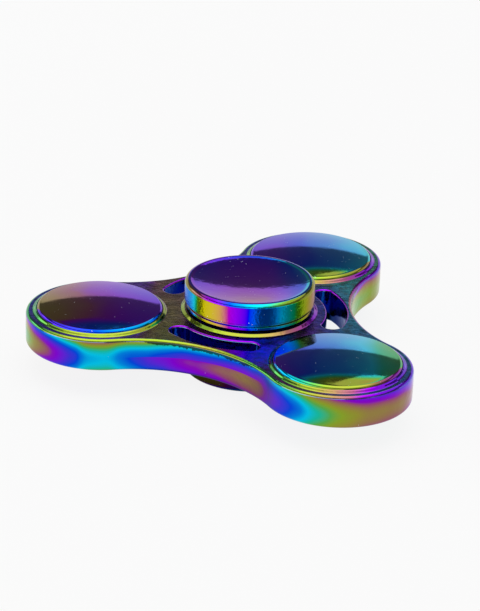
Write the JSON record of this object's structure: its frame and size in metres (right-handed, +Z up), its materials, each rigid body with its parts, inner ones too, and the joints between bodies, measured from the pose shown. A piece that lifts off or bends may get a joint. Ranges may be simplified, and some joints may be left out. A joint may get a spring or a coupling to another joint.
{
  "type": "fidget spinner",
  "caption": "Flat three-lobed metal fidget spinner with dished finger caps on a shielded ball bearing and domed covers on its weighted lobes.",
  "frame": {"origin": "on the spin axis, halfway through the thickness of the plate", "axes": "+Z up along the spin axis towards the taller finger cap; +Y towards the middle of lobe 1"},
  "size_m": [0.0782, 0.0715, 0.0182],
  "materials": {
    "plated_frame": "cast zinc, polished and vapour-coated in an oil-slick rainbow: blue, violet, magenta, teal and olive",
    "plated_cap": "turned metal with the same rainbow coating, bright dished face, finely turned wall",
    "plated_cover": "mirror-polished domed cover with the same rainbow coating",
    "weight_steel": "plain turned steel",
    "bearing_steel": "ground and polished bearing steel",
    "shield_steel": "pressed steel sheet",
    "cage_steel": "pressed steel ribbon, slightly oily"
  },
  "bodies": {
    "hub": {"finger_cap_top": "plated_cap", "finger_cap_bottom": "plated_cap", "bearing_inner_race": "bearing_steel"},
    "rotor": {"body_frame": "plated_frame", "bearing_outer_race": "bearing_steel", "bearing_shield_top": "shield_steel", "bearing_shield_bottom": "shield_steel", "shield_clip_top": "shield_steel", "shield_clip_bottom": "shield_steel", "lobe_1_weight": "weight_steel", "lobe_1_cover_top": "plated_cover", "lobe_1_cover_bottom": "plated_cover", "lobe_2_weight": "weight_steel", "lobe_2_cover_top": "plated_cover", "lobe_2_cover_bottom": "plated_cover", "lobe_3_weight": "weight_steel", "lobe_3_cover_top": "plated_cover", "lobe_3_cover_bottom": "plated_cover"},
    "cage": {"bearing_cage": "cage_steel"},
    "ball_1": {"bearing_ball_1": "bearing_steel"},
    "ball_2": {"bearing_ball_2": "bearing_steel"},
    "ball_3": {"bearing_ball_3": "bearing_steel"},
    "ball_4": {"bearing_ball_4": "bearing_steel"},
    "ball_5": {"bearing_ball_5": "bearing_steel"},
    "ball_6": {"bearing_ball_6": "bearing_steel"},
    "ball_7": {"bearing_ball_7": "bearing_steel"}
  },
  "joints": [
    {"name": "rotor_spin", "type": "hinge", "parent": "hub", "child": "rotor", "pos_m": [0, 0, 0], "axis": [0, 0, 1], "continuous": true},
    {"name": "cage_spin", "type": "hinge", "parent": "hub", "child": "cage", "pos_m": [0, 0, 0], "axis": [0, 0, 1], "continuous": true},
    {"name": "ball_1_roll", "type": "hinge", "parent": "cage", "child": "ball_1", "pos_m": [0.0075, 0, 0], "axis": [0, 0, 1], "continuous": true},
    {"name": "ball_2_roll", "type": "hinge", "parent": "cage", "child": "ball_2", "pos_m": [0.00468, 0.00586, 0], "axis": [0, 0, 1], "continuous": true},
    {"name": "ball_3_roll", "type": "hinge", "parent": "cage", "child": "ball_3", "pos_m": [-0.00167, 0.00731, 0], "axis": [0, 0, 1], "continuous": true},
    {"name": "ball_4_roll", "type": "hinge", "parent": "cage", "child": "ball_4", "pos_m": [-0.00676, 0.00325, 0], "axis": [0, 0, 1], "continuous": true},
    {"name": "ball_5_roll", "type": "hinge", "parent": "cage", "child": "ball_5", "pos_m": [-0.00676, -0.00325, 0], "axis": [0, 0, 1], "continuous": true},
    {"name": "ball_6_roll", "type": "hinge", "parent": "cage", "child": "ball_6", "pos_m": [-0.00167, -0.00731, 0], "axis": [0, 0, 1], "continuous": true},
    {"name": "ball_7_roll", "type": "hinge", "parent": "cage", "child": "ball_7", "pos_m": [0.00468, -0.00586, 0], "axis": [0, 0, 1], "continuous": true}
  ],
  "couplings": [
    {"joint": "cage_spin", "follows": "rotor_spin", "ratio": 0.6323},
    {"joint": "ball_1_roll", "follows": "rotor_spin", "ratio": 1.757},
    {"joint": "ball_2_roll", "follows": "rotor_spin", "ratio": 1.757},
    {"joint": "ball_3_roll", "follows": "rotor_spin", "ratio": 1.757},
    {"joint": "ball_4_roll", "follows": "rotor_spin", "ratio": 1.757},
    {"joint": "ball_5_roll", "follows": "rotor_spin", "ratio": 1.757},
    {"joint": "ball_6_roll", "follows": "rotor_spin", "ratio": 1.757},
    {"joint": "ball_7_roll", "follows": "rotor_spin", "ratio": 1.757}
  ]
}
